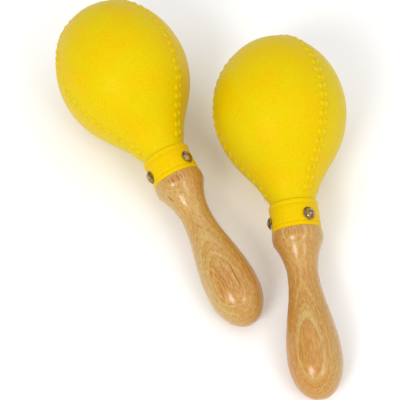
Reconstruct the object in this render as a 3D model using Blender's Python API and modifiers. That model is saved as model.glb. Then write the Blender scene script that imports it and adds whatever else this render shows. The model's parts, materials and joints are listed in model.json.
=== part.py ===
"""A pair of maracas lying side by side on a table, heads away and butts near.

Each maraca has a hollow head made of three moulded panels, a banded collar over the head's neck, three
round-headed tacks that pin collar and neck to a turned wooden handle, and loose steel pellets in the head.

Metres, +Z up, +Y from the handles towards the heads; the origin is on the table under the pair's middle.
A maraca is modelled upright on its butt, along its own +Z, and its empty then lays it down. "Along" is
the distance from the butt end and "radius" the distance from the maraca's own axis.
"""

import math

import bmesh
import bpy
from mathutils import Matrix, Vector

GAP = 0.0003  # kept between pieces that touch

# The handle. Knots are (along, radius, slope); the outline is smooth through them.
BUTT_LENGTH = 0.028  # the butt end is a half ellipse up to the fullest place of the grip
BUTT_RADIUS = 0.019
BUTT_FLAT_RADIUS = 0.004  # the small flat that the lathe leaves on the end
HANDLE_KNOTS = (
    (BUTT_LENGTH, BUTT_RADIUS, 0.0),
    (0.045, 0.0179, -0.17),
    (0.066, 0.0137, -0.22),
    (0.088, 0.0110, 0.0),  # waist
    (0.105, 0.0147, 0.41),
    (0.1145, 0.0183, 0.0),  # shoulder
    (0.1193, 0.0178, -0.2),  # rim against the collar
)
SPIGOT_RADIUS = 0.0139  # the stub that the neck of the head fits over
SPIGOT_END = 0.1390

# The head, a shell of revolution in three equal panels.
WALL = 0.002
NECK_START = 0.1198
NECK_END = 0.1398
NECK_RADIUS = 0.0162
HEAD_RADIUS = 0.0488
WIDEST_ALONG = 0.2115
CROWN_LENGTH = 0.0585  # the crown is a half ellipse beyond the widest place
HEAD_KNOTS = (
    (NECK_START, NECK_RADIUS, 0.0),
    (NECK_END, NECK_RADIUS, 0.0),
    (0.150, 0.0205, 0.46),
    (0.168, 0.0322, 0.74),
    (0.188, 0.0441, 0.38),
    (WIDEST_ALONG, HEAD_RADIUS, 0.0),
)
PANELS = 3
PANEL_ANGLE = math.radians(360 / PANELS)

# The collar, a plain band between two rounded beads.
COLLAR_START = 0.1197
COLLAR_END = 0.1395
COLLAR_BORE = NECK_RADIUS + 0.0006
BAND_RADIUS = 0.0177
BEAD_RADIUS = 0.0181
LOWER_BEAD = 0.0032  # width of each bead along the axis
UPPER_BEAD = 0.0043

# The tacks, one a little to one side of each seam.
TACK_ALONG = 0.1277
TACK_FROM_SEAM = math.radians(-7)
TACK_HEAD_RADIUS = 0.0047
TACK_HEAD_HEIGHT = 0.0023
SHANK_RADIUS = 0.0008
SHANK_LENGTH = 0.009
SHANK_TIP = 0.0015
SHANK_HOLE_RADIUS = SHANK_RADIUS + GAP
TACK_SEAT = BAND_RADIUS + GAP  # radius at which the flat underside of the head lies

# The pellets, one closely packed layer of three rings at the lowest place inside each head.
PELLET_RADIUS = 0.003
PELLET_SPACING = 0.0066
PELLET_RINGS = 2
PELLET_CLEARANCE = 0.0008  # to the smooth inner wall; its flat facets stand inside it

# How the two lie: butt end on the table plane, heading to the left of +Y, and where the first seam is,
# counted from the top of the lying maraca towards its right-hand side.
MARACAS = {
    "left": {"butt": (0.0361, -0.0892), "heading": 26.6, "first_seam": 46.5},
    "right": {"butt": (0.0819, -0.1437), "heading": 6.4, "first_seam": 34.0},
}

ROUND_STEPS = 24
PANEL_STEPS = 10


def smooth_radius(knots, along):
    """Radius on the smooth outline through (along, radius, slope) knots."""
    for (start, first, slope_in), (end, last, slope_out) in zip(knots, knots[1:]):
        if along <= end:
            break
    span = end - start
    t = (along - start) / span
    rise = t * t * (3 - 2 * t)
    bend = slope_in * t * (1 - t) ** 2 + slope_out * t * t * (t - 1)
    return first + (last - first) * rise + span * bend


def handle_radius(along):
    if along >= BUTT_LENGTH:
        return smooth_radius(HANDLE_KNOTS, along)
    return BUTT_RADIUS * math.sqrt(1 - (1 - along / BUTT_LENGTH) ** 2)


def head_radius(along):
    if along <= WIDEST_ALONG:
        return smooth_radius(HEAD_KNOTS, along)
    return HEAD_RADIUS * math.sqrt(max(0, 1 - ((along - WIDEST_ALONG) / CROWN_LENGTH) ** 2))


def evenly(start, end, count):
    """count values from start up to, but not including, end."""
    return [start + (end - start) * i / count for i in range(count)]


def handle_outline():
    """(radius, along) from the centre of the spigot's end, down the outside, to the centre of the butt."""
    flat_angle = math.asin(BUTT_FLAT_RADIUS / BUTT_RADIUS)
    butt = [
        (BUTT_RADIUS * math.sin(angle), BUTT_LENGTH * (1 - math.cos(angle)))
        for angle in evenly(math.pi / 2, flat_angle, 6) + [flat_angle]
    ]
    rim = HANDLE_KNOTS[-1][0]
    turned = []
    for (start, *_), (end, *_) in zip(HANDLE_KNOTS, HANDLE_KNOTS[1:]):
        turned += [(handle_radius(along), along) for along in evenly(start, end, 3)]
    turned.append((handle_radius(rim), rim))
    turned.reverse()
    spigot = [
        (0, SPIGOT_END),
        (SPIGOT_RADIUS - 0.001, SPIGOT_END),
        (SPIGOT_RADIUS, SPIGOT_END - 0.001),
        (SPIGOT_RADIUS, rim),
    ]
    return spigot + turned + butt[1:] + [(0, butt[-1][1])]


def head_section():
    """The closed section of a panel: up the outside to the crown, and back down the inside."""
    outside = [(NECK_RADIUS, NECK_START)]
    outside += [(head_radius(along), along) for along in evenly(NECK_END, WIDEST_ALONG, 10)]
    outside += [
        (HEAD_RADIUS * math.cos(angle), WIDEST_ALONG + CROWN_LENGTH * math.sin(angle))
        for angle in evenly(0, math.pi / 2, 8)
    ]
    inside = []
    for radius, along in outside:
        step = 1e-5
        slope = (head_radius(along + step) - head_radius(along)) / step
        length = math.hypot(1, slope)
        inside.append((radius - WALL / length, along + WALL * slope / length))
    inside[0] = (NECK_RADIUS - WALL, NECK_START)
    crown = WIDEST_ALONG + CROWN_LENGTH
    return outside + [(0, crown), (0, crown - WALL)] + inside[::-1]


def collar_section():
    """The closed section of the collar, down its outside and back up its bore."""
    edge = BAND_RADIUS - 0.0006
    return [
        (COLLAR_BORE, COLLAR_END),
        (edge, COLLAR_END),
        (BEAD_RADIUS, COLLAR_END - UPPER_BEAD * 0.4),
        (BAND_RADIUS, COLLAR_END - UPPER_BEAD),
        (BAND_RADIUS, COLLAR_START + LOWER_BEAD),
        (BEAD_RADIUS, COLLAR_START + LOWER_BEAD * 0.5),
        (edge, COLLAR_START),
        (COLLAR_BORE, COLLAR_START),
    ]


def tack_outline():
    """(radius, height) of a tack from the top of its head to its tip, with the underside at height 0."""
    ball = (TACK_HEAD_RADIUS**2 + TACK_HEAD_HEIGHT**2) / (2 * TACK_HEAD_HEIGHT)
    widest = math.asin(TACK_HEAD_RADIUS / ball)
    dome = [
        (ball * math.sin(angle), TACK_HEAD_HEIGHT - ball * (1 - math.cos(angle)))
        for angle in evenly(0, widest, 4) + [widest]
    ]
    shank = [
        (SHANK_RADIUS, 0),
        (SHANK_RADIUS, -SHANK_LENGTH),
        (0, -SHANK_LENGTH - SHANK_TIP),
    ]
    return dome + shank


def lying_pose():
    """How a maraca lies with both its grip and its head on the table.

    Returns the axis's tilt, the height of the butt's centre, and how far along the head it touches.
    """
    grip = evenly(0.001, 0.080, 200)
    head = evenly(0.150, 0.260, 400)

    def lowest(radius_at, places, tilt):
        return min(
            (along * math.sin(tilt) - radius_at(along) * math.cos(tilt), along) for along in places
        )

    low, high = 0, math.radians(30)
    for _ in range(40):
        tilt = (low + high) / 2
        if lowest(head_radius, head, tilt) < lowest(handle_radius, grip, tilt):
            low = tilt
        else:
            high = tilt
    drop, touching = lowest(head_radius, head, tilt)
    return tilt, -drop, touching


def principled(name, color, roughness, metallic=0.0):
    material = bpy.data.materials.new(name)
    material.use_nodes = True
    surface = material.node_tree.nodes["Principled BSDF"]
    surface.inputs["Base Color"].default_value = (*color, 1)
    surface.inputs["Roughness"].default_value = roughness
    surface.inputs["Metallic"].default_value = metallic
    material.diffuse_color = (*color, 1)
    return material


def outline_mesh(name, points, closed):
    """A mesh of edges only, in the XZ plane, for a Screw modifier to turn."""
    count = len(points)
    last = count if closed else count - 1
    edges = [(i, (i + 1) % count) for i in range(last)]
    mesh = bpy.data.meshes.new(name)
    mesh.from_pydata([(radius, 0, along) for radius, along in points], edges, [])
    return mesh


def panel_mesh(name):
    """One panel of the head: its section, spun through the panel's angle."""
    mesh = bpy.data.meshes.new(name)
    bm = bmesh.new()
    corners = [bm.verts.new((radius, 0, along)) for radius, along in head_section()]
    section = bm.faces.new(corners)
    bmesh.ops.spin(
        bm,
        geom=[*corners, *section.edges, section],
        axis=(0, 0, 1),
        angle=PANEL_ANGLE,
        steps=PANEL_STEPS,
    )
    bmesh.ops.remove_doubles(bm, verts=bm.verts, dist=1e-6)
    bmesh.ops.recalc_face_normals(bm, faces=bm.faces)
    bm.to_mesh(mesh)
    bm.free()
    mesh.shade_smooth()
    mesh.set_sharp_from_angle(angle=math.radians(40))
    return mesh


def pellet_mesh(name, material):
    mesh = bpy.data.meshes.new(name)
    bm = bmesh.new()
    bmesh.ops.create_icosphere(bm, subdivisions=2, radius=PELLET_RADIUS)
    bm.to_mesh(mesh)
    bm.free()
    mesh.shade_smooth()
    mesh.materials.append(material)
    return mesh


def add_object(name, mesh, collection, parent):
    obj = bpy.data.objects.new(name, mesh)
    collection.objects.link(obj)
    obj.parent = parent
    return obj


def add_turning(obj, steps):
    """Turns an object's outline a full circle about its Z."""
    screw = obj.modifiers.new("turn", "SCREW")
    screw.steps = steps
    screw.render_steps = steps
    screw.use_merge_vertices = True
    screw.merge_threshold = 1e-6
    return obj


def add_cut(obj, cutter):
    cut = obj.modifiers.new(f"hole_{cutter.name}", "BOOLEAN")
    cut.operation = "DIFFERENCE"
    cut.object = cutter


def place_radially(obj, radius, angle):
    """Puts an object at the tacks' height with its Z pointing straight out from the axis."""
    obj.location = (radius * math.cos(angle), radius * math.sin(angle), TACK_ALONG)
    obj.rotation_euler = (0, math.pi / 2, angle)


def tack_angle(index):
    return PANEL_ANGLE * (index + 1) + TACK_FROM_SEAM


def make_hole_cutters(side, collection, parent):
    """Cylinders that cut the tacks' holes, from beyond the collar to past the tips."""
    inner = TACK_SEAT - SHANK_LENGTH - SHANK_TIP - 0.0005
    outer = TACK_SEAT + 0.003
    mesh = bpy.data.meshes.new(f"{side}_tack_hole")
    bm = bmesh.new()
    bmesh.ops.create_cone(
        bm,
        cap_ends=True,
        segments=8,
        radius1=SHANK_HOLE_RADIUS,
        radius2=SHANK_HOLE_RADIUS,
        depth=outer - inner,
    )
    bm.to_mesh(mesh)
    bm.free()
    cutters = []
    for index in range(PANELS):
        cutter = add_object(f"{side}_tack_hole_{index + 1}", mesh, collection, parent)
        place_radially(cutter, (inner + outer) / 2, tack_angle(index))
        cutter.hide_render = True
        cutter.display_type = "WIRE"
        cutters.append(cutter)
    return cutters


def make_handle(side, collection, parent, material, cutters):
    mesh = outline_mesh(f"{side}_handle", handle_outline(), closed=False)
    mesh.materials.append(material)
    handle = add_turning(add_object(f"{side}_handle", mesh, collection, parent), ROUND_STEPS)
    for cutter in cutters:
        add_cut(handle, cutter)


def make_collar(side, collection, parent, material, cutters):
    mesh = outline_mesh(f"{side}_collar", collar_section(), closed=True)
    mesh.materials.append(material)
    collar = add_turning(add_object(f"{side}_collar", mesh, collection, parent), ROUND_STEPS)
    for cutter in cutters:
        add_cut(collar, cutter)


def make_head(side, collection, parent, material, cutters):
    """Three copies of one panel, each moved out a little so that the seams stay open by the gap."""
    mesh = panel_mesh(f"{side}_head_panel")
    mesh.materials.append(material)
    outward = GAP / 2 / math.sin(PANEL_ANGLE / 2)
    for index in range(PANELS):
        panel = add_object(f"{side}_head_panel_{index + 1}", mesh, collection, parent)
        middle = PANEL_ANGLE * (index + 0.5)
        panel.rotation_euler.z = PANEL_ANGLE * index
        panel.location = (outward * math.cos(middle), outward * math.sin(middle), 0)
        add_cut(panel, cutters[index])


def make_tacks(side, collection, parent, material):
    mesh = outline_mesh(f"{side}_tack", tack_outline(), closed=False)
    mesh.materials.append(material)
    for index in range(PANELS):
        tack = add_turning(add_object(f"{side}_tack_{index + 1}", mesh, collection, parent), 12)
        place_radially(tack, TACK_SEAT, tack_angle(index))


def room_for_pellet(to_upright, place):
    """How far a pellet's centre at this place is inside the head's inner wall; negative beyond it."""
    local = to_upright @ place
    wall = head_radius(local.z) - WALL
    return wall - PELLET_CLEARANCE - PELLET_RADIUS - math.hypot(local.x, local.y)


def pellet_height(to_upright, x, y, inside_height):
    """Height of a pellet's centre where it lies on the lower wall, straight below a place inside."""
    high, low = inside_height, inside_height - 2 * HEAD_RADIUS
    for _ in range(40):
        height = (low + high) / 2
        if room_for_pellet(to_upright, Vector((x, y, height))) > 0:
            high = height
        else:
            low = height
    return high


def ring_offsets():
    """The pellets' places in a closely packed layer: the middle one, then each six-sided ring."""
    across = Vector((PELLET_SPACING, 0))
    aslant = Vector((PELLET_SPACING / 2, PELLET_SPACING * math.sqrt(0.75)))
    steps = range(-PELLET_RINGS, PELLET_RINGS + 1)
    rows = [
        (max(abs(i), abs(j), abs(i + j)), across * i + aslant * j)
        for i in steps
        for j in steps
        if abs(i + j) <= PELLET_RINGS
    ]
    rows.sort(key=lambda row: row[0])
    return [offset for _, offset in rows]


def make_pellets(side, collection, pair, material, laid, touching):
    """One layer of pellets round the lowest place inside the head. Each is its own moving piece."""
    mesh = pellet_mesh(f"{side}_pellet", material)
    on_axis = laid @ Vector((0, 0, touching))
    axis = (laid.to_3x3() @ Vector((0, 0, 1))).normalized()
    forward = Vector((axis.x, axis.y))
    centre = on_axis.xy + forward.normalized() * forward.length * axis.z * head_radius(touching)
    to_upright = laid.inverted()
    for number, offset in enumerate(ring_offsets(), start=1):
        x, y = centre + offset
        pellet = add_object(f"{side}_pellet_{number:02d}", mesh, collection, pair)
        pellet.location = (x, y, pellet_height(to_upright, x, y, on_axis.z))


def stand_on_origin(pair, collection):
    """Moves the pair so that the origin is under the middle of its box, on the table."""
    bpy.context.view_layer.update()
    graph = bpy.context.evaluated_depsgraph_get()
    corners = []
    for obj in collection.objects:
        if obj.type != "MESH":
            continue
        evaluated = obj.evaluated_get(graph)
        mesh = evaluated.to_mesh()
        corners += [evaluated.matrix_world @ vertex.co for vertex in mesh.vertices]
        evaluated.to_mesh_clear()
    low = [min(corner[i] for corner in corners) for i in range(3)]
    high = [max(corner[i] for corner in corners) for i in range(3)]
    pair.location = (-(low[0] + high[0]) / 2, -(low[1] + high[1]) / 2, -low[2])
    bpy.context.view_layer.update()


def main():
    for obj in list(bpy.data.objects):
        bpy.data.objects.remove(obj)
    parts = bpy.data.collections.new("maraca_pair")
    holes = bpy.data.collections.new("cutters")
    for collection in (parts, holes):
        bpy.context.scene.collection.children.link(collection)

    shell = principled("yellow_shell", (0.84, 0.58, 0.01), 0.45)
    wood = principled("lacquered_wood", (0.62, 0.40, 0.17), 0.3)
    brass = principled("tack_brass", (0.45, 0.36, 0.24), 0.25, metallic=1.0)
    steel = principled("pellet_steel", (0.45, 0.45, 0.46), 0.3, metallic=1.0)

    pair = add_object("pair_origin", None, parts, None)
    tilt, butt_height, touching = lying_pose()
    for side, lie in MARACAS.items():
        laid = (
            Matrix.Translation((*lie["butt"], butt_height))
            @ Matrix.Rotation(math.radians(lie["heading"]), 4, "Z")
            @ Matrix.Rotation(tilt - math.pi / 2, 4, "X")
            @ Matrix.Rotation(math.radians(lie["first_seam"]) - math.pi / 2, 4, "Z")
        )
        maraca = add_object(f"{side}_maraca_axis", None, parts, pair)
        maraca.matrix_local = laid
        cutters = make_hole_cutters(side, holes, maraca)
        make_head(side, parts, maraca, shell, cutters)
        make_collar(side, parts, maraca, shell, cutters)
        make_handle(side, parts, maraca, wood, cutters)
        make_tacks(side, parts, maraca, brass)
        make_pellets(side, parts, pair, steel, laid, touching)
    stand_on_origin(pair, parts)


main()
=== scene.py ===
"""The looks of a pair of maracas: yellow stitched heads, tacked collars, lacquered wooden handles.

Every piece is made upright in its maraca's own frame, +Z from the butt of the handle to the crown of
the head and +X through the first seam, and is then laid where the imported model's maraca lies. "Along"
is the distance from the butt, "radius" the distance from the axis. Lengths are in metres, and colours
are linear.
"""

import json
import math

import bmesh
import bpy
import numpy as np
from mathutils import Matrix, Vector, noise


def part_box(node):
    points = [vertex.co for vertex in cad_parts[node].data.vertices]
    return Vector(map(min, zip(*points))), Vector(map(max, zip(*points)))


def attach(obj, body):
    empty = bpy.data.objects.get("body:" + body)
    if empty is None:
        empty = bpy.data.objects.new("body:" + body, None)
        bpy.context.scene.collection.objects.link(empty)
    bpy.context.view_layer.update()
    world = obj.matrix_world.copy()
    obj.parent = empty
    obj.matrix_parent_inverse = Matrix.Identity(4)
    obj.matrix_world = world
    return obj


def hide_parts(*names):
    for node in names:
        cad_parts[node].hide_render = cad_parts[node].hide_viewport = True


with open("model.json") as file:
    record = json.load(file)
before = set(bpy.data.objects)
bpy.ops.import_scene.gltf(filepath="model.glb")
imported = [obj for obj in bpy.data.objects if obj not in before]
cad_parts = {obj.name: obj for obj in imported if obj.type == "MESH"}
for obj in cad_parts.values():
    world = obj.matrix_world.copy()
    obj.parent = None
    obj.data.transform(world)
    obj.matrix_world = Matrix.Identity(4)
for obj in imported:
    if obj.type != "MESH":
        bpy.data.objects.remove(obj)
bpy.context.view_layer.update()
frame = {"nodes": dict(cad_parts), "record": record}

MM = 0.001

# The handle's outline: a half-ellipse butt with a small flat on its end, then a smooth curve through
# (along, radius, slope) knots up to the rim, and the spigot that the neck of the head fits over.
BUTT_LENGTH = 28 * MM
BUTT_RADIUS = 19 * MM
BUTT_FLAT_RADIUS = 4 * MM
BUTT_EASE = 0.999  # keeps the fine butt inside the coarser CAD one
BUTT_ANGLES = 40
RIM_ALONG = 119.3 * MM
HANDLE_KNOTS = (
    (BUTT_LENGTH, BUTT_RADIUS, 0.0),
    (45 * MM, 17.9 * MM, -0.17),
    (66 * MM, 13.7 * MM, -0.22),
    (88 * MM, 11.0 * MM, 0.0),
    (105 * MM, 14.7 * MM, 0.41),
    (114.5 * MM, 18.3 * MM, 0.0),
    (RIM_ALONG, 17.8 * MM, -0.2),
)
RIM_ROUNDING = 0.17 * MM  # how far the rim's rounded edge rises past its last knot
SPIGOT_RADIUS = 13.9 * MM
SPIGOT_END = 139 * MM
SPIGOT_CHAMFER = 1 * MM
HANDLE_SPACING = 0.6 * MM  # between the handle's rings of vertices
HANDLE_STEPS = 128  # round a ring

# The head's outline: a straight neck, knots up to the widest place, and a half-ellipse crown.
WALL = 2 * MM
NECK_START = 119.8 * MM
NECK_END = 139.8 * MM
NECK_RADIUS = 16.2 * MM
HEAD_RADIUS = 48.8 * MM
WIDEST_ALONG = 211.5 * MM
CROWN_LENGTH = 58.5 * MM
HEAD_KNOTS = (
    (NECK_START, NECK_RADIUS, 0.0),
    (NECK_END, NECK_RADIUS, 0.0),
    (150 * MM, 20.5 * MM, 0.46),
    (168 * MM, 32.2 * MM, 0.74),
    (188 * MM, 44.1 * MM, 0.38),
    (WIDEST_ALONG, HEAD_RADIUS, 0.0),
)
PANELS = 3
PANEL_ANGLE = math.radians(360 / PANELS)
UNEVENNESS = 0.3 * MM  # depth of the slow swells in the thin shell
SWELLS_PER_METRE = 38
SWELL_FADE = 12 * MM  # the swells grow over this distance from none at the neck

# A panel's vertices: narrow columns near each of its two seams and wide ones between them.
HEAD_SPACING = 0.42 * MM  # between its rows
FINE_COLUMNS = 21
FINE_WIDTH = 7.5 * MM
FINE_SHARE = 0.7  # of half the panel at most, where the head is narrow
COARSE_COLUMNS = 12
INNER_COLUMNS = 9
INNER_LEAST_RADIUS = 0.02 * MM  # keeps the inside's last row off the axis

# The seams between the panels: pairs of rounded stitch knobs on a low ridge, with a fine groove
# between the two knobs of a pair.
SEAM_GAP = 0.01 * MM  # half the hairline between two panels
KNOB_PITCH = 6.7 * MM
KNOB_FROM_SEAM = 1.8 * MM
KNOB_HALF_ACROSS = 2.8 * MM
KNOB_HALF_ALONG = 2.5 * MM
KNOB_HEIGHT = 0.9 * MM
KNOB_STEEPNESS = 1.5
KNOB_SLANT = 0.15
KNOB_STAGGER = 0.4 * MM  # one line of knobs is this much nearer the crown, the other the neck
SIZE_VARIATION = 0.07
PLACE_VARIATION = 0.12
FIRST_KNOB = 8 * MM  # past the collar, measured over the surface
KNOBS_END_RADIUS = 8 * MM  # the knobs fade out where the three seams meet on the crown
FADE = 2 * MM
CREASE_DEPTH = 0.03 * MM  # round each knob
CREASE_REACH = 1.1  # middle of the crease, as a share of the knob's reach
CREASE_HALF_WIDTH = 0.35  # the same
GROOVE_DEPTH = 0.06 * MM
GROOVE_HALF_WIDTH = 0.5 * MM
RIDGE_HEIGHT = 0.12 * MM
RIDGE_HALF_WIDTH = 4.6 * MM

# The collar, round the neck from the rim of the handle upwards.
COLLAR_START = 119.5 * MM
COLLAR_END = 139.9 * MM
COLLAR_BORE = 16.5 * MM
COLLAR_STEPS = 180

# The tacks: one beside each seam, pressed a little way into the collar.
TACK_ALONG = 127.7 * MM
TACK_FROM_SEAM = math.radians(-7)
TACK_SEAT = 18 * MM  # radius at which the head begins
TACK_HEAD_RADIUS = 4.7 * MM
TACK_HEAD_HEIGHT = 2.3 * MM
TACK_DOME_ANGLES = 22
TACK_STEPS = 48
SHANK_RADIUS = 0.8 * MM
SHANK_LENGTH = 9 * MM
SHANK_TIP = 1.5 * MM
PRESS_DEPTH = 0.25 * MM  # of the hollow in the collar round a tack
PRESS_RADIUS = 5.6 * MM

PELLETS = 19  # in each head
PELLET_RADIUS = 3 * MM
PELLET_FLATS = 0.015  # mean depth of the flats on a pellet, as a share of its radius

SHARP_ANGLE = math.radians(50)  # edges that bend more than this stay sharp


# ---- Shapes ----


def smooth_radius(knots, along):
    """Radius on the smooth outline through (along, radius, slope) knots, for an array of places."""
    along = np.asarray(along, float)
    result = np.full(along.shape, knots[-1][1])
    for (start, first, slope_in), (end, last, slope_out) in zip(knots, knots[1:]):
        span = end - start
        t = (along - start) / span
        rise = t * t * (3 - 2 * t)
        bend = slope_in * t * (1 - t) ** 2 + slope_out * t * t * (t - 1)
        inside = (t >= 0) & (t <= 1)
        result = np.where(inside, first + (last - first) * rise + span * bend, result)
    return result


def head_outline(spacing):
    """Along, radius and distance over the surface, at even spacing up the outside of the head."""
    samples = 1500
    lower = np.linspace(NECK_START, WIDEST_ALONG, samples)
    angle = np.linspace(0, math.pi / 2, samples)[1:]
    along = np.concatenate([lower, WIDEST_ALONG + CROWN_LENGTH * np.sin(angle)])
    radius = np.concatenate([smooth_radius(HEAD_KNOTS, lower), HEAD_RADIUS * np.cos(angle)])
    travelled = np.concatenate([[0], np.cumsum(np.hypot(np.diff(along), np.diff(radius)))])
    even = np.linspace(0, travelled[-1], round(travelled[-1] / spacing) + 1)
    return np.interp(even, travelled, along), np.interp(even, travelled, radius), even


def handle_outline(spacing):
    """(radius, along) of the handle, from the centre of the butt to the centre of the spigot's end."""
    flat_angle = math.asin(BUTT_FLAT_RADIUS / BUTT_RADIUS)
    angles = np.linspace(flat_angle, math.pi / 2, BUTT_ANGLES)
    butt = [
        (BUTT_RADIUS * math.sin(angle), BUTT_LENGTH * (1 - BUTT_EASE * math.cos(angle)))
        for angle in angles
    ]
    places = np.linspace(BUTT_LENGTH, RIM_ALONG, round((RIM_ALONG - BUTT_LENGTH) / spacing))
    turned = list(zip(smooth_radius(HANDLE_KNOTS, places), places))
    rim_radius = turned[-1][0]
    rounding = [
        (rim_radius - 0.35 * MM, RIM_ALONG + 0.12 * MM),
        (rim_radius - 1.0 * MM, RIM_ALONG + RIM_ROUNDING),
    ]
    spigot = [
        (SPIGOT_RADIUS, RIM_ALONG + RIM_ROUNDING),
        (SPIGOT_RADIUS, SPIGOT_END - SPIGOT_CHAMFER),
        (SPIGOT_RADIUS - SPIGOT_CHAMFER, SPIGOT_END),
        (0, SPIGOT_END),
    ]
    return [(0, butt[0][1])] + butt + turned[1:] + rounding + spigot


def linked_object(name, data):
    """An object made of the data and put in the scene."""
    obj = bpy.data.objects.new(name, data)
    bpy.context.scene.collection.objects.link(obj)
    return obj


def points_around(radius, angle, along):
    """Points round the axis, from arrays of radius, angle and place along it that fit together."""
    x, y, z = np.broadcast_arrays(radius * np.cos(angle), radius * np.sin(angle), along)
    return np.stack([x, y, z], axis=-1)


def mesh_object(name, vertices, faces, material):
    """A smooth-shaded object with its normals turned outwards."""
    mesh = bpy.data.meshes.new(name)
    mesh.from_pydata(np.asarray(vertices).tolist(), [], faces)
    bm = bmesh.new()
    bm.from_mesh(mesh)
    bmesh.ops.recalc_face_normals(bm, faces=bm.faces)
    bm.to_mesh(mesh)
    bm.free()
    mesh.shade_smooth()
    mesh.set_sharp_from_angle(angle=SHARP_ANGLE)
    mesh.materials.append(material)
    return linked_object(name, mesh)


def grid_faces(first, rows, columns, wrap=False):
    """Quads of a grid of vertices from index first on; wrap joins the last column to the first."""
    faces = []
    across = columns if wrap else columns - 1
    for row in range(rows - 1):
        low = first + row * columns
        high = low + columns
        for column in range(across):
            other = (column + 1) % columns
            faces.append((low + column, low + other, high + other, high + column))
    return faces


def turned_object(name, outline, steps, material, closed=False, shape=None):
    """A (radius, along) outline turned round the axis. Ends on the axis become single points.

    closed joins the outline's last point to its first; shape may move the array of turned points.
    """
    on_axis = [radius == 0 for radius, _ in outline]
    ring = [point for point, lies in zip(outline, on_axis) if not lies]
    angle = np.arange(steps) * 2 * math.pi / steps
    radius = np.array([r for r, _ in ring])[:, None]
    along = np.array([a for _, a in ring])[:, None]
    points = points_around(radius, angle, along)
    if shape:
        points = shape(points)
    points = points.reshape(-1, 3)
    faces = grid_faces(0, len(ring), steps, wrap=True)
    count = len(points)
    if closed:
        last = count - steps
        faces += [(last + i, last + (i + 1) % steps, (i + 1) % steps, i) for i in range(steps)]
    if on_axis[0]:
        points = np.vstack([points, (0, 0, outline[0][1])])
        faces += [(len(points) - 1, i, (i + 1) % steps) for i in range(steps)]
    if on_axis[-1]:
        points = np.vstack([points, (0, 0, outline[-1][1])])
        first = count - steps
        faces += [(len(points) - 1, first + i, first + (i + 1) % steps) for i in range(steps)]
    return mesh_object(name, points, faces, material)


def seam_relief(distance, travelled, radius, line):
    """Height of the relief beside a seam, and how much of it is knob and crease.

    distance is from the seam and travelled up it, both over the surface. line is 0 for the line of
    knobs on one side of the seam and 1 for the other. The sines make each knob differ a little from
    its neighbours.
    """
    past = travelled - (NECK_END - NECK_START) - FIRST_KNOB + KNOB_STAGGER * (2 * line - 1)
    number = np.round(past / KNOB_PITCH)
    on_seam = past > -KNOB_PITCH / 2
    size = 1 + SIZE_VARIATION * np.sin(2.4 * number + 1.7 * line)
    slip = PLACE_VARIATION * np.sin(4.1 * number + 2.9 * line)
    across = (distance - KNOB_FROM_SEAM) / (KNOB_HALF_ACROSS * size) + slip
    lengthwise = (past - number * KNOB_PITCH) / (KNOB_HALF_ALONG * size) - KNOB_SLANT * across - slip
    reach = np.hypot(across, lengthwise)
    fade_out = np.clip((radius - KNOBS_END_RADIUS) / FADE, 0, 1)
    fade_in = np.clip((past + KNOB_PITCH / 2) / FADE, 0, 1)
    present = fade_out * on_seam
    knob = np.clip(1 - reach**2, 0, 1) ** KNOB_STEEPNESS * present
    crease = np.exp(-(((reach - CREASE_REACH) / CREASE_HALF_WIDTH) ** 2)) * present
    ridge = np.exp(-((distance / RIDGE_HALF_WIDTH) ** 4)) * fade_out * fade_in
    groove = np.exp(-((distance / GROOVE_HALF_WIDTH) ** 2)) * fade_in
    raised = KNOB_HEIGHT * knob + RIDGE_HEIGHT * ridge
    sunk = CREASE_DEPTH * crease + GROOVE_DEPTH * groove
    return raised - sunk, knob, crease


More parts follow.
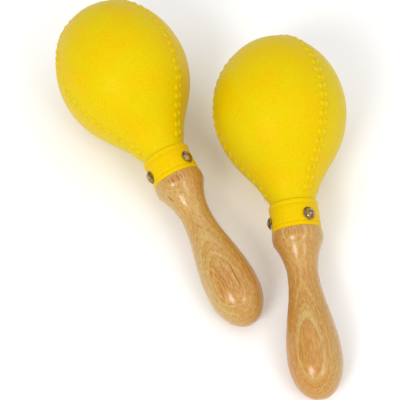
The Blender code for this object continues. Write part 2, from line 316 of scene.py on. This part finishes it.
def panel_object(name, material):
    """One panel of a head, with half of each of its two seams along its edges."""
    outline = head_outline(HEAD_SPACING)
    along, radius, travelled = (values[:-1] for values in outline)  # the pole is a point of its own
    rows = len(along)
    half = radius[:, None] * PANEL_ANGLE / 2
    fine_width = np.minimum(FINE_WIDTH, half * FINE_SHARE)
    near = fine_width * np.linspace(0, 1, FINE_COLUMNS)
    far = fine_width + (half - fine_width) * np.linspace(0, 1, COARSE_COLUMNS + 1)[1:]
    distance = np.hstack([near, far])
    from_edge = distance / radius[:, None]
    angle = np.hstack([from_edge, PANEL_ANGLE - from_edge[:, -2::-1]])
    distance = np.hstack([distance, distance[:, -2::-1]])
    columns = angle.shape[1]
    line = np.where(np.arange(columns) < columns // 2, 0, 1)

    slope = np.gradient(radius, along)
    length = np.hypot(1, slope)
    out_radius, out_along = (1 / length)[:, None], (-slope / length)[:, None]
    height, knob, crease = seam_relief(distance, travelled[:, None], radius[:, None], line)
    points = points_around(
        radius[:, None] + height * out_radius, angle, along[:, None] + height * out_along
    )

    # A thin shell is never quite true: slow swells, none at the neck, where the collar grips it.
    swell = [noise.noise(Vector(point) * SWELLS_PER_METRE) for point in points.reshape(-1, 3)]
    swell = np.array(swell).reshape(rows, columns)
    clear_of_neck = np.clip((along[:, None] - NECK_END) / SWELL_FADE, 0, 1)
    swell = (0.5 * swell - 0.5) * UNEVENNESS * clear_of_neck
    points[..., 0] += swell * out_radius * np.cos(angle)
    points[..., 1] += swell * out_radius * np.sin(angle)
    points[..., 2] += swell * out_along

    # Each edge stands back from the seam's plane by half a hairline.
    middle = PANEL_ANGLE / 2
    shift = SEAM_GAP / math.sin(middle)
    outward = np.array([math.cos(middle), math.sin(middle), 0]) * shift
    points += outward

    inner_angle = np.linspace(0, PANEL_ANGLE, INNER_COLUMNS)[None, :]
    inner_radius = np.maximum(radius - WALL / length, INNER_LEAST_RADIUS)[:, None]
    inner_along = (along + WALL * slope / length)[:, None]
    inner = points_around(inner_radius, inner_angle, inner_along) + outward
    crown = WIDEST_ALONG + CROWN_LENGTH
    poles = np.array([(0, 0, crown), (0, 0, crown - WALL)]) + outward

    inner_first = rows * columns
    outer_pole = inner_first + rows * INNER_COLUMNS
    inner_pole = outer_pole + 1
    vertices = np.vstack([points.reshape(-1, 3), inner.reshape(-1, 3), poles])
    faces = grid_faces(0, rows, columns) + grid_faces(inner_first, rows, INNER_COLUMNS)
    last_outer = (rows - 1) * columns
    last_inner = inner_first + (rows - 1) * INNER_COLUMNS
    faces += [(last_outer + i, last_outer + i + 1, outer_pole) for i in range(columns - 1)]
    faces += [(last_inner + i, last_inner + i + 1, inner_pole) for i in range(INNER_COLUMNS - 1)]
    for outer_column, inner_column in ((0, 0), (columns - 1, INNER_COLUMNS - 1)):
        for row in range(rows - 1):
            outer = row * columns + outer_column
            inside = inner_first + row * INNER_COLUMNS + inner_column
            faces.append((outer, outer + columns, inside + INNER_COLUMNS, inside))
        faces.append((last_outer + outer_column, outer_pole, inner_pole, last_inner + inner_column))
    neck = list(range(columns)) + [inner_first + i for i in reversed(range(INNER_COLUMNS))]
    faces.append(tuple(neck))

    # The material reads the relief for a painted highlight on the knobs and painted shade in the
    # creases: 1 on top of a knob, 0 in a crease and 0.5 elsewhere.
    panel = mesh_object(name, vertices, faces, material)
    relief = np.full(len(vertices), 0.5, np.float32)
    relief[:inner_first] = (0.5 + 0.5 * knob - 0.5 * crease).reshape(-1)
    attribute = panel.data.attributes.new("relief", "FLOAT", "POINT")
    attribute.data.foreach_set("value", relief)
    return panel


def collar_outline():
    """(radius, along) of the collar's closed section: a folded edge, a plain band and a rolled edge."""
    outside = [  # (along, radius in mm), from the wood up to the neck
        (COLLAR_START, 17.0),
        (COLLAR_START + 0.25 * MM, 17.45),
        (COLLAR_START + 0.8 * MM, 17.7),
        (COLLAR_START + 1.8 * MM, 17.78),
        (COLLAR_START + 2.9 * MM, 17.76),
        (COLLAR_START + 3.25 * MM, 17.6),
        (COLLAR_START + 3.5 * MM, 17.3),
        (COLLAR_START + 3.75 * MM, 17.56),
        (COLLAR_START + 5.5 * MM, 17.68),
        (COLLAR_START + 9 * MM, 17.66),
        (COLLAR_START + 13 * MM, 17.62),
        (COLLAR_END - 4.1 * MM, 17.6),
        (COLLAR_END - 3.8 * MM, 17.38),
        (COLLAR_END - 3.5 * MM, 17.6),
        (COLLAR_END - 2.7 * MM, 17.74),
        (COLLAR_END - 1.9 * MM, 17.78),
        (COLLAR_END - 1.1 * MM, 17.66),
        (COLLAR_END - 0.5 * MM, 17.35),
        (COLLAR_END - 0.1 * MM, 16.8),
    ]
    bore = [(COLLAR_BORE, COLLAR_END - 0.1 * MM), (COLLAR_BORE, COLLAR_START)]
    return [(radius * MM, along) for along, radius in outside] + bore


def tack_angle(number):
    """Direction of a tack round the axis; number 1 is beside the second seam."""
    return PANEL_ANGLE * number + TACK_FROM_SEAM


def press_tacks(points):
    """Draws the outside of the band in a little round each tack."""
    radius = np.hypot(points[..., 0], points[..., 1])
    angle = np.arctan2(points[..., 1], points[..., 0])
    pressed = np.zeros(radius.shape)
    for number in range(1, PANELS + 1):
        turned = (angle - tack_angle(number) + math.pi) % (2 * math.pi) - math.pi
        away = np.hypot(turned * radius, points[..., 2] - TACK_ALONG)
        pressed = np.maximum(pressed, np.exp(-((away / PRESS_RADIUS) ** 4)))
    outside = radius > COLLAR_BORE + 0.3 * MM
    scale = 1 - PRESS_DEPTH * pressed * outside / radius
    points[..., 0] *= scale
    points[..., 1] *= scale
    return points


def tack_outline():
    """(radius, height) outline of a tack: a hollow domed head with a rolled edge, a pointed shank."""
    ball = (TACK_HEAD_RADIUS**2 + TACK_HEAD_HEIGHT**2) / (2 * TACK_HEAD_HEIGHT)
    widest = math.asin(TACK_HEAD_RADIUS / ball)
    dome = [
        (ball * math.sin(angle), TACK_HEAD_HEIGHT - ball * (1 - math.cos(angle)))
        for angle in np.linspace(0, widest, TACK_DOME_ANGLES)[:-1]
    ]
    edge = [
        (TACK_HEAD_RADIUS, 0.12 * MM),
        (TACK_HEAD_RADIUS + 0.02 * MM, 0.02 * MM),
        (TACK_HEAD_RADIUS - 0.06 * MM, -0.08 * MM),
        (TACK_HEAD_RADIUS - 0.3 * MM, -0.1 * MM),
    ]
    hollow = [
        (TACK_HEAD_RADIUS - 0.6 * MM, 0.12 * MM),
        (2.4 * MM, 1.2 * MM),
        (SHANK_RADIUS, 1.3 * MM),
    ]
    shank = [(SHANK_RADIUS, -SHANK_LENGTH), (0, -SHANK_LENGTH - SHANK_TIP)]
    return dome + edge + hollow + shank


def tack_object(name, number, material):
    """A tack pushed in towards the axis, with its rim marked for the material: 1 on the edge."""
    tack = turned_object(name, tack_outline(), TACK_STEPS, material)
    reach = [math.hypot(v.co.x, v.co.y) / TACK_HEAD_RADIUS for v in tack.data.vertices]
    tack.data.attributes.new("rim", "FLOAT", "POINT").data.foreach_set("value", reach)
    seat = tack_angle(number)
    tack.location = (TACK_SEAT * math.cos(seat), TACK_SEAT * math.sin(seat), TACK_ALONG)
    tack.rotation_euler = (0, math.pi / 2, seat)
    return tack


def pellet_object(name, centre, number, material):
    """A steel shot, round but for the faint flats that are left on it when it is made."""
    mesh = bpy.data.meshes.new(name)
    bm = bmesh.new()
    bmesh.ops.create_icosphere(bm, subdivisions=4, radius=PELLET_RADIUS)
    for vertex in bm.verts:
        direction = vertex.co.normalized()
        rough = noise.noise(direction * 1.7 + Vector((number * 3.1, 0, 0)))
        vertex.co = direction * PELLET_RADIUS * (1 - PELLET_FLATS + PELLET_FLATS * rough)
    bm.to_mesh(mesh)
    bm.free()
    mesh.shade_smooth()
    mesh.materials.append(material)
    pellet = linked_object(name, mesh)
    pellet.location = centre
    return pellet


# ---- Materials ----


class Shader:
    """A node material whose parts are added one line at a time."""

    def __init__(self, name, laid=None):
        """laid is where an upright piece lies, for a grain that follows the piece's own axis."""
        self.material = bpy.data.materials.new(name)
        self.material.use_nodes = True
        self.tree = self.material.node_tree
        self.surface = self.tree.nodes["Principled BSDF"]
        self.place = self.add("ShaderNodeTexCoord").outputs["Object"]
        if laid:
            upright = self.add("ShaderNodeMapping", vector_type="TEXTURE")
            self.join(self.place, upright.inputs["Vector"])
            self.join(laid.translation, upright.inputs["Location"])
            self.join(laid.to_euler(), upright.inputs["Rotation"])
            self.place = upright.outputs["Vector"]

    def add(self, kind, **settings):
        made = self.tree.nodes.new(kind)
        for key, value in settings.items():
            setattr(made, key, value)
        return made

    def join(self, source, socket):
        """Links an output to an input, or sets the input when the source is a plain value."""
        if isinstance(source, bpy.types.NodeSocket):
            self.tree.links.new(source, socket)
        else:
            socket.default_value = source

    def math(self, operation, *values):
        made = self.add("ShaderNodeMath", operation=operation)
        for value, socket in zip(values, made.inputs):
            self.join(value, socket)
        return made.outputs[0]

    def between(self, value, low, high, to_low=0.0, to_high=1.0):
        """Smooth step of a value from one range to another."""
        made = self.add("ShaderNodeMapRange", interpolation_type="SMOOTHSTEP")
        for key, item in (
            ("Value", value),
            ("From Min", low),
            ("From Max", high),
            ("To Min", to_low),
            ("To Max", to_high),
        ):
            self.join(item, made.inputs[key])
        return made.outputs["Result"]

    def dot(self, vector, direction):
        made = self.add("ShaderNodeVectorMath", operation="DOT_PRODUCT")
        self.join(vector, made.inputs[0])
        self.join(direction, made.inputs[1])
        return made.outputs["Value"]

    def stretched(self, scale):
        """The place, scaled along each axis, so that 1 is one feature."""
        made = self.add("ShaderNodeVectorMath", operation="MULTIPLY")
        self.join(self.place, made.inputs[0])
        self.join(scale, made.inputs[1])
        return made.outputs["Vector"]

    def noise(self, vector, scale=1.0, detail=2.0, roughness=0.5):
        """Soft noise about 0.5; on the place itself, scale is in features per metre."""
        made = self.add("ShaderNodeTexNoise")
        self.join(vector, made.inputs["Vector"])
        self.join(scale, made.inputs["Scale"])
        self.join(detail, made.inputs["Detail"])
        self.join(roughness, made.inputs["Roughness"])
        return made.outputs["Fac"]

    def mix(self, factor, first, second):
        """A mix of two colours, each an output or a plain colour."""
        made = self.add("ShaderNodeMix", data_type="RGBA")
        self.join(factor, made.inputs["Factor"])
        # Sockets of one name serve numbers, vectors and colours: 6, 7 and output 2 are the colours'.
        for value, socket in ((first, made.inputs[6]), (second, made.inputs[7])):
            self.join(value if isinstance(value, bpy.types.NodeSocket) else (*value, 1), socket)
        return made.outputs[2]

    def ramp(self, value, stops):
        """The colour for a value from 0 to 1, between stops of (position, colour)."""
        made = self.add("ShaderNodeValToRGB")
        self.join(value, made.inputs["Fac"])
        elements = made.color_ramp.elements
        while len(elements) < len(stops):
            elements.new(0.5)
        for element, (position, color) in zip(elements, stops):
            element.position = position
            element.color = (*color, 1)
        return made.outputs["Color"]

    def bump(self, height, distance, strength, under=None):
        """A normal roughened by a height, over the normal of a coarser bump."""
        made = self.add("ShaderNodeBump")
        self.join(height, made.inputs["Height"])
        self.join(distance, made.inputs["Distance"])
        self.join(strength, made.inputs["Strength"])
        if under:
            self.join(under, made.inputs["Normal"])
        return made.outputs["Normal"]

    def finish(self, values):
        """Sets or links the surface's own sockets, by name."""
        for key, value in values.items():
            self.join(value, self.surface.inputs[key])
        return self.material


SHELL_PALE = (0.70, 0.53, 0.001)
SHELL_DEEP = (0.74, 0.49, 0.0)
BAND_PALE = (0.75, 0.51, 0.0)
BAND_DEEP = (0.77, 0.48, 0.0)


def scaled(color, factor):
    return tuple(channel * factor for channel in color)


def shell_material(name, pale, deep, with_relief):
    """Matt plastic with a leathery grain, and with a painted highlight on the tops of the knobs and
    painted shade in the creases round them.

    Its colour drifts between pale and deep.
    """
    shader = Shader(name)
    clouds = shader.noise(shader.place, scale=45, detail=3)
    color = shader.mix(shader.between(clouds, 0.35, 0.7), pale, deep)
    speckle = shader.noise(shader.place, scale=800, detail=2, roughness=0.6)
    color = shader.mix(shader.between(speckle, 0.5, 0.75, 0, 0.7), color, scaled(pale, 1.07))
    color = shader.mix(shader.between(speckle, 0.5, 0.28, 0, 0.6), color, scaled(deep, 0.88))
    if with_relief:
        # Painted light: the knob tops are lightened as a painted highlight, and the creases round them
        # are darkened as painted shade.
        relief = shader.add("ShaderNodeAttribute", attribute_name="relief").outputs["Fac"]
        painted_crease_shade = shader.between(relief, 0.5, 0.05, 0.0, 0.12)
        color = shader.mix(painted_crease_shade, color, scaled(deep, 0.65))
        painted_knob_highlight = shader.between(relief, 0.55, 1.0, 0.0, 0.4)
        color = shader.mix(painted_knob_highlight, color, scaled(pale, 1.08))
    pits = shader.add("ShaderNodeTexVoronoi", feature="SMOOTH_F1")
    shader.join(shader.place, pits.inputs["Vector"])
    shader.join(700.0, pits.inputs["Scale"])
    grain = shader.bump(pits.outputs["Distance"], 0.25 * MM, strength=0.4)
    roughened = shader.noise(shader.place, scale=1300, detail=2)
    grain = shader.bump(roughened, 0.15 * MM, strength=0.4, under=grain)
    worn = shader.noise(shader.place, scale=110, detail=3)
    return shader.finish(
        {
            "Base Color": color,
            "Roughness": shader.between(worn, 0.3, 0.75, 0.4, 0.5),
            "Specular IOR Level": 0.18,
            "Specular Tint": (1.0, 0.8, 0.2, 1.0),
            "Normal": grain,
        }
    )


WOOD_DEPTH = 42  # mm of growth rings that a wood material spans
RING_MARGIN = 2  # mm of them outside the fullest place of the grip
FINE_RING = 1.9 * MM  # spacing of the thin lines within the rings
FLECK_DEPTH = 8 * MM  # how far a mark reaches into the wood

CORE_WOOD = (0.51, 0.23, 0.033)
PALE_WOOD = (0.555, 0.38, 0.114)
LATE_WOOD = (0.385, 0.135, 0.014)
PLAIN_WOOD = (0.555, 0.328, 0.085)
DARK_FIBRE = (0.385, 0.15, 0.02)
PALE_FIBRE = (0.64, 0.455, 0.155)
BLUSH = (0.50, 0.205, 0.035)
HEARTWOOD_AND_SHADE = (0.49, 0.19, 0.014)
SAPWOOD_AND_LIGHT = (0.55, 0.405, 0.155)
STREAK = (0.34, 0.115, 0.015)
PORE = (0.20, 0.065, 0.012)
FLECK = (0.10, 0.028, 0.006)


def ring_colors(rings):
    """Ramp stops from the growth rings, each a depth in mm and how pale its wood is.

    Every ring begins with a thin line of darker late wood.
    """
    stops = []
    ends = [start for start, _ in rings[1:]] + [WOOD_DEPTH - RING_MARGIN]
    for (start, paleness), end in zip(rings, ends):
        wood = tuple(core + (pale - core) * paleness for core, pale in zip(CORE_WOOD, PALE_WOOD))
        late = tuple((light + 2 * dark) / 3 for light, dark in zip(wood, LATE_WOOD))
        even_end = 0.25 * start + 0.75 * end
        for depth, tone in ((start, late), (start + 0.25, wood), (even_end, wood)):
            stops.append(((depth + RING_MARGIN) / WOOD_DEPTH, tone))
    return stops


def wood_material(
    name, laid, ring_angle, cupping, rings, lined, faded, speckled, heart_and_shade_angle, streaked, flecks
):
    """Clear-lacquered light wood whose growth layers lie square to one direction across the handle.

    ring_angle: that direction, round the axis.
    cupping: how much deeper a layer lies to each side of it, over the square of the distance.
    rings: depths in mm from the fullest place of the grip, each with how pale its wood is.
    lined, speckled, streaked: strength of the fine lines within the rings, of the short grain, and
        of the dark streaks in the first ring.
    faded: how far the rings fade out on the shoulder.
    heart_and_shade_angle: the side on which the wood reddens, partly heartwood and partly painted
    shade; the opposite side is paler, partly sapwood and partly painted light.
    flecks: marks on the surface, as (along, angle, half-length, half-width, colour, strength).
    """
    shader = Shader(name, laid)
    toward = (math.cos(ring_angle), math.sin(ring_angle), 0)
    sideways = (-math.sin(ring_angle), math.cos(ring_angle), 0)
    depth = shader.math("SUBTRACT", BUTT_RADIUS, shader.dot(shader.place, toward))
    aside = shader.dot(shader.place, sideways)
    depth = shader.math("MULTIPLY_ADD", shader.math("MULTIPLY", aside, aside), cupping, depth)

    # The layers waver, from slow waves down to the width of a fibre (swings in mm).
    for scale, swing in (((50, 50, 12), 1.6), ((420, 420, 40), 0.9), ((1500, 1500, 170), 1.0)):
        wave = shader.noise(shader.stretched(scale), detail=2)
        wave = shader.math("MULTIPLY_ADD", wave, swing * MM, -swing / 2 * MM)
        depth = shader.math("ADD", depth, wave)
    share = shader.math("MULTIPLY_ADD", depth, 1 / (WOOD_DEPTH * MM), RING_MARGIN / WOOD_DEPTH)
    color = shader.ramp(share, ring_colors(rings))
    fine = shader.math("SINE", shader.math("MULTIPLY", depth, 2 * math.pi / FINE_RING))
    color = shader.mix(shader.between(fine, 0.3, 1.0, 0, lined), color, LATE_WOOD)
    along = shader.dot(shader.place, (0, 0, 1))
    color = shader.mix(shader.between(along, 75 * MM, 100 * MM, 0.1, faded), color, PLAIN_WOOD)
    toward_heart_and_shade = shader.dot(shader.place, (math.cos(heart_and_shade_angle), math.sin(heart_and_shade_angle), 0))
    # Partly heartwood, partly painted shade: the side toward heart_and_shade_angle, which gets less
    # light, is redder and darker.
    color = shader.mix(shader.between(toward_heart_and_shade, 6 * MM, 18 * MM, 0, 0.6), color, HEARTWOOD_AND_SHADE)
    # Partly sapwood, partly painted light: the opposite side is paler.
    color = shader.mix(shader.between(toward_heart_and_shade, 0, -17 * MM, 0, 0.35), color, SAPWOOD_AND_LIGHT)
    blush = shader.noise(shader.stretched((45, 45, 25)), detail=2)
    color = shader.mix(shader.between(blush, 0.5, 0.75, 0, 0.5), color, BLUSH)

    # Fibres run along the handle, with short speckled grain, dark streaks and pores among them.
    fibres = shader.noise(shader.stretched((1500, 1500, 80)), detail=4, roughness=0.75)
    color = shader.mix(shader.between(fibres, 0.48, 0.68, 0, 0.7), color, DARK_FIBRE)
    color = shader.mix(shader.between(fibres, 0.48, 0.30, 0, 0.65), color, PALE_FIBRE)
    grain = shader.noise(shader.stretched((1000, 1000, 300)), detail=3, roughness=0.7)
    color = shader.mix(shader.between(grain, 0.5, 0.68, 0, speckled), color, DARK_FIBRE)
    color = shader.mix(shader.between(grain, 0.5, 0.32, 0, speckled), color, PALE_FIBRE)
    streaks = shader.noise(shader.stretched((900, 900, 75)), detail=2)
    in_core = shader.between(depth, 3.2 * MM, 1.2 * MM, 0.1, streaked)
    streaks = shader.math("MULTIPLY", shader.between(streaks, 0.55, 0.66), in_core)
    color = shader.mix(streaks, color, STREAK)
    pores = shader.noise(shader.stretched((1300, 1300, 140)), detail=1)
    color = shader.mix(shader.between(pores, 0.66, 0.74, 0, 0.4), color, PORE)

    for place_along, angle, half_length, half_width, mark, strength in flecks:
        outward = Vector((math.cos(angle), math.sin(angle), 0))
        around = Vector((-outward.y, outward.x, 0))
        radius = float(smooth_radius(HANDLE_KNOTS, place_along))
        away = shader.add("ShaderNodeVectorMath", operation="SUBTRACT")
        shader.join(shader.place, away.inputs[0])
        shader.join(outward * radius + Vector((0, 0, place_along)), away.inputs[1])
        within = shader.add("ShaderNodeCombineXYZ")
        sizes = (outward / FLECK_DEPTH, around / half_width, Vector((0, 0, 1)) / half_length)
        for direction, socket in zip(sizes, within.inputs):
            shader.join(shader.dot(away.outputs["Vector"], direction), socket)
        reach = shader.add("ShaderNodeVectorMath", operation="LENGTH")
        shader.join(within.outputs["Vector"], reach.inputs[0])
        ragged = shader.math("MULTIPLY_ADD", fibres, 1.2, reach.outputs["Value"])
        color = shader.mix(shader.between(ragged, 1.7, 1.1, 0, strength), color, mark)

    lines = shader.bump(fibres, 0.03 * MM, strength=0.3)
    return shader.finish(
        {
            "Base Color": color,
            "Roughness": 0.42,
            "Specular IOR Level": 0.15,
            "Normal": lines,
            "Coat Weight": 0.7,
            "Coat Roughness": 0.2,
            "Coat Normal": lines,
        }
    )


BRONZE = (0.52, 0.35, 0.18)
DARK_REFLECTION_BRONZE = (0.19, 0.11, 0.055)
RIM_PATINA_AND_SHADE = (0.15, 0.08, 0.035)
BRIGHT_STEEL = (0.55, 0.55, 0.56)
DULL_STEEL = (0.33, 0.32, 0.31)
FLOOR_GREY = (0.95, 0.95, 0.95)
FLOOR_WHITE = (0.97, 0.97, 0.97)


def tack_material():
    """Polished bronze with painted dark reflections in patches, and darkened round the rim, partly
    patina and partly painted shade.
    """
    shader = Shader("tack_bronze")
    # Painted reflection: the dark patches stand in for reflections of dark surroundings.
    clouds = shader.noise(shader.place, scale=380, detail=2, roughness=0.6)
    color = shader.mix(shader.between(clouds, 0.42, 0.6), BRONZE, DARK_REFLECTION_BRONZE)
    # Partly patina, partly painted shade: the rim is darkened where the head meets the collar.
    rim = shader.add("ShaderNodeAttribute", attribute_name="rim").outputs["Fac"]
    color = shader.mix(shader.between(rim, 0.7, 1.0, 0, 0.6), color, RIM_PATINA_AND_SHADE)
    scratches = shader.noise(shader.stretched((3000, 500, 800)), detail=2)
    return shader.finish(
        {
            "Base Color": color,
            "Metallic": 1.0,
            "Roughness": shader.between(clouds, 0.3, 0.7, 0.12, 0.22),
            "Normal": shader.bump(scratches, 0.01 * MM, strength=0.3),
        }
    )


def steel_material():
    shader = Shader("pellet_steel")
    spots = shader.noise(shader.place, scale=900, detail=3, roughness=0.6)
    color = shader.mix(shader.between(spots, 0.4, 0.7), BRIGHT_STEEL, DULL_STEEL)
    return shader.finish(
        {
            "Base Color": color,
            "Metallic": 1.0,
            "Roughness": shader.between(spots, 0.3, 0.7, 0.25, 0.45),
            "Normal": shader.bump(spots, 0.02 * MM, strength=0.3),
        }
    )


def floor_material():
    shader = Shader("pale_floor")
    cloud = shader.noise(shader.place, scale=3, detail=1)
    color = shader.mix(cloud, FLOOR_GREY, FLOOR_WHITE)
    return shader.finish({"Base Color": color, "Roughness": 0.9})


# ---- The pair ----


def upright_to_laid(side):
    """Where a maraca lies: its place and axis from its butt mount, its roll from its first panel."""
    mount = next(m for m in frame["record"]["mounts"] if m["name"] == f"{side}_butt")
    axis = -Vector(mount["axis"]).normalized()
    flat_along = BUTT_LENGTH * (1 - math.sqrt(1 - (BUTT_FLAT_RADIUS / BUTT_RADIUS) ** 2))
    butt = Vector(mount["pos_m"]) - axis * flat_along
    panel = frame["nodes"][f"{side}_head_panel_1"].data
    upper = [v.co - butt for v in panel.vertices if (v.co - butt).dot(axis) > WIDEST_ALONG]
    middle = sum(upper, Vector()) / len(upper)
    middle -= axis * middle.dot(axis)
    seam = Matrix.Rotation(-PANEL_ANGLE / 2, 3, axis) @ middle.normalized()
    across = axis.cross(seam)
    turn = Matrix((seam, across, axis)).transposed().to_4x4()
    return Matrix.Translation(butt) @ turn


def stand_for(obj, laid, body, node):
    """Lays a piece's mesh in its place, and puts it on its body for the CAD node that it stands for."""
    obj.data.transform(laid @ obj.matrix_basis)
    obj.matrix_basis = Matrix()
    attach(obj, body)
    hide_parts(node)


WOODS = {
    "left": {
        "ring_angle": math.radians(-66),
        "cupping": -1.9,
        "rings": (
            (-RING_MARGIN, 0.0),
            (0.9, 0.35),
            (2.4, 0.9),
            (3.6, 0.65),
            (4.8, 1.0),
            (7.2, 0.6),
            (10.5, 0.7),
            (14.0, 0.4),
            (19.0, 0.6),
            (27.0, 0.4),
        ),
        "lined": 0.22,
        "faded": 0.65,
        "speckled": 0.42,
        "heart_and_shade_angle": math.radians(12),
        "streaked": 0.85,
        "flecks": (
            (105.2 * MM, math.radians(-103), 3.2 * MM, 0.6 * MM, FLECK, 0.85),
            (115.5 * MM, math.radians(-60), 2.8 * MM, 5 * MM, BLUSH, 0.8),
            (33 * MM, math.radians(-41.5), 13 * MM, 0.7 * MM, STREAK, 1.0),
            (113.5 * MM, math.radians(-68), 3 * MM, 1.0 * MM, STREAK, 0.9),
            (114.5 * MM, math.radians(-55), 3 * MM, 1.0 * MM, STREAK, 0.9),
        ),
    },
    "right": {
        "ring_angle": math.radians(-49),
        "cupping": 17,
        "rings": (
            (-RING_MARGIN, 0.0),
            (2.7, 1.0),
            (5.2, 0.1),
            (6.9, 0.55),
            (8.3, 0.15),
            (10.6, 0.35),
            (13.5, 0.15),
            (18.0, 0.45),
            (22.5, 0.3),
            (28.5, 0.6),
        ),
        "lined": 0.45,
        "faded": 0.45,
        "speckled": 0.28,
        "heart_and_shade_angle": math.radians(-130),
        "streaked": 0.55,
        "flecks": ((111 * MM, math.radians(-76), 1.0 * MM, 0.6 * MM, FLECK, 0.85),),
    },
}

shell = shell_material("yellow_shell", SHELL_PALE, SHELL_DEEP, with_relief=True)
band = shell_material("yellow_band", BAND_PALE, BAND_DEEP, with_relief=False)
bronze = tack_material()
steel = steel_material()

for side in ("left", "right"):
    laid = upright_to_laid(side)
    body = f"{side}_maraca"
    for number in range(1, PANELS + 1):
        panel = panel_object(f"{side}_shell_{number}", shell)
        panel.rotation_euler.z = PANEL_ANGLE * (number - 1)
        stand_for(panel, laid, body, f"{side}_head_panel_{number}")

        tack = tack_object(f"{side}_nail_{number}", number, bronze)
        stand_for(tack, laid, body, f"{side}_tack_{number}")

    collar = turned_object(
        f"{side}_band", collar_outline(), COLLAR_STEPS, band, closed=True, shape=press_tacks
    )
    stand_for(collar, laid, body, f"{side}_collar")

    wood = wood_material(f"{side}_wood", laid, **WOODS[side])
    grip = turned_object(f"{side}_grip", handle_outline(HANDLE_SPACING), HANDLE_STEPS, wood)
    stand_for(grip, laid, body, f"{side}_handle")

    for number in range(1, PELLETS + 1):
        node = f"{side}_pellet_{number:02d}"
        low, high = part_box(node)
        shot = pellet_object(f"{side}_shot_{number:02d}", (low + high) / 2, number, steel)
        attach(shot, node)
        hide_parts(node)


# ---- Floor, lights and camera ----

CENTRE = Vector((0.4 * MM, -5.1 * MM, 32.5 * MM))  # what the camera and the lights point at
FLOOR_HALF_SIZE = 6.0
WORLD_LIGHT = 0.6
CAMERA_ELEVATION = math.radians(62.33)
CAMERA_DISTANCE = 0.81
CAMERA_LENS = 101.0  # in mm, not metres
SENSOR_WIDTH = 36  # the same

floor_mesh = bpy.data.meshes.new("floor")
bm = bmesh.new()
bmesh.ops.create_grid(bm, x_segments=8, y_segments=8, size=FLOOR_HALF_SIZE)
bm.to_mesh(floor_mesh)
bm.free()
floor_mesh.materials.append(floor_material())
floor = linked_object("floor", floor_mesh)


def soft_light(name, azimuth, elevation, distance, size, power):
    """A square soft light aimed at the pair. Azimuth is from +Y towards +X."""
    data = bpy.data.lights.new(name, "AREA")
    data.shape = "SQUARE"
    data.size = size
    data.energy = power
    light = linked_object(name, data)
    azimuth, elevation = math.radians(azimuth), math.radians(elevation)
    direction = Vector(
        (
            math.sin(azimuth) * math.cos(elevation),
            math.cos(azimuth) * math.cos(elevation),
            math.sin(elevation),
        )
    )
    light.location = CENTRE + direction * distance
    light.rotation_euler = direction.to_track_quat("Z", "Y").to_euler()


soft_light("key_left", azimuth=-148, elevation=44, distance=1.6, size=0.5, power=10)
soft_light("key_right", azimuth=141, elevation=47, distance=1.6, size=0.45, power=3)
soft_light("fill_right", azimuth=95, elevation=35, distance=2.0, size=2.0, power=5)
soft_light("overhead", azimuth=0, elevation=88, distance=2.0, size=2.2, power=11)

world = bpy.data.worlds.new("studio")
world.use_nodes = True
background = world.node_tree.nodes["Background"]
background.inputs["Color"].default_value = (1, 1, 1, 1)
background.inputs["Strength"].default_value = WORLD_LIGHT
bpy.context.scene.world = world
bpy.context.scene.view_settings.view_transform = "Standard"

camera_data = bpy.data.cameras.new("camera")
camera_data.sensor_width = SENSOR_WIDTH
camera_data.lens = CAMERA_LENS
camera = linked_object("camera", camera_data)
direction = Vector((0, -math.cos(CAMERA_ELEVATION), math.sin(CAMERA_ELEVATION)))
camera.location = CENTRE + direction * CAMERA_DISTANCE
camera.rotation_euler = direction.to_track_quat("Z", "Y").to_euler()
bpy.context.scene.camera = camera
